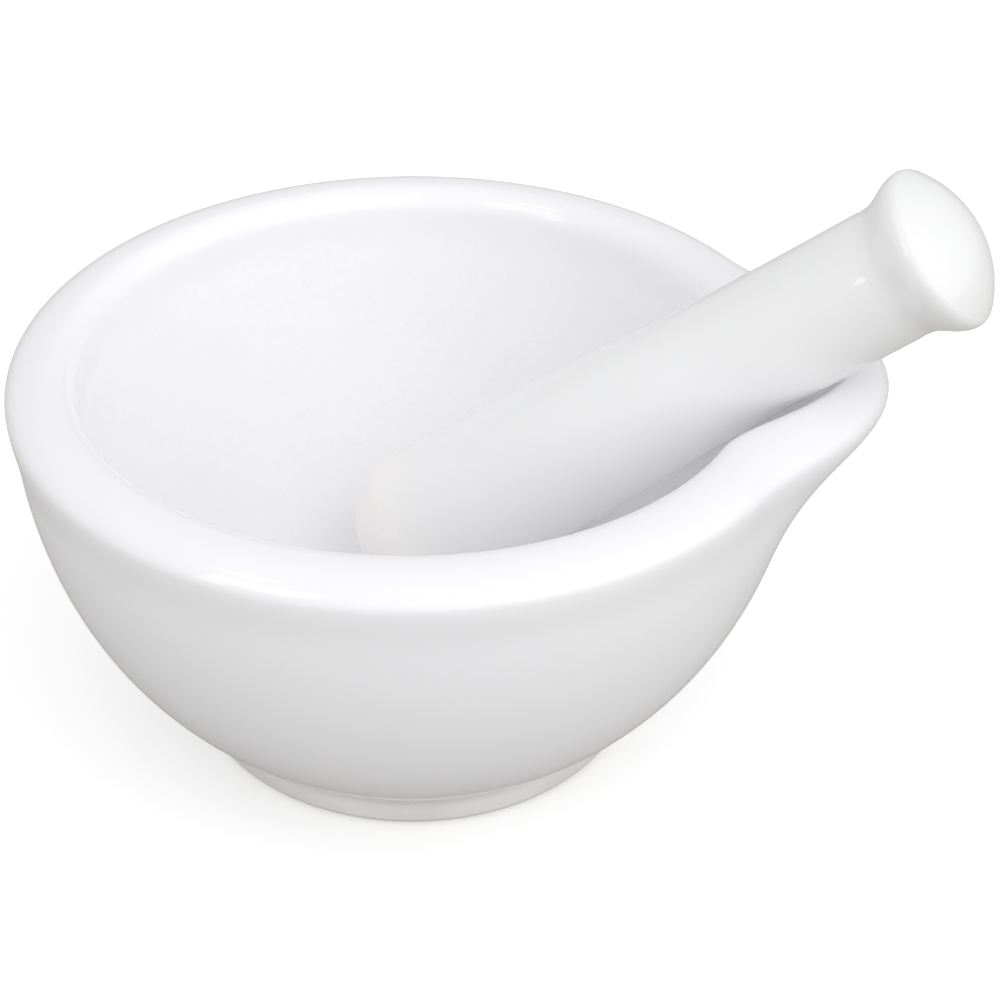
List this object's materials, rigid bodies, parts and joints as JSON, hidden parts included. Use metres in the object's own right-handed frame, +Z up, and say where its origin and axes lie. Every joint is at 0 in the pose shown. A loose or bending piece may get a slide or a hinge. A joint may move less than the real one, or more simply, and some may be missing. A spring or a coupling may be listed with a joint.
{
  "type": "mortar and pestle",
  "caption": "Thick porcelain mortar with a rounded lip, pouring spout and low foot, and a flared-knob pestle that lies across its rim.",
  "frame": {"origin": "centre of the flat underside of the mortar's foot, on the bowl's own axis", "axes": "+Z up the bowl's axis, +X out through the middle of the pouring spout"},
  "size_m": [0.1191, 0.1, 0.0801],
  "materials": {
    "mortar_porcelain": "clear gloss glaze over white porcelain, bare and matt inside the bowl and on the ground foot",
    "pestle_porcelain": "clear gloss glaze on the handle, bare matt porcelain on the grinding head"
  },
  "bodies": {
    "mortar": {"mortar": "mortar_porcelain"},
    "pestle": {"pestle": "pestle_porcelain"}
  },
  "joints": [
    {"name": "pestle_lift", "type": "slide", "parent": "mortar", "child": "pestle", "axis": [0, 0, 1], "range_m": [0, 0.06]}
  ]
}
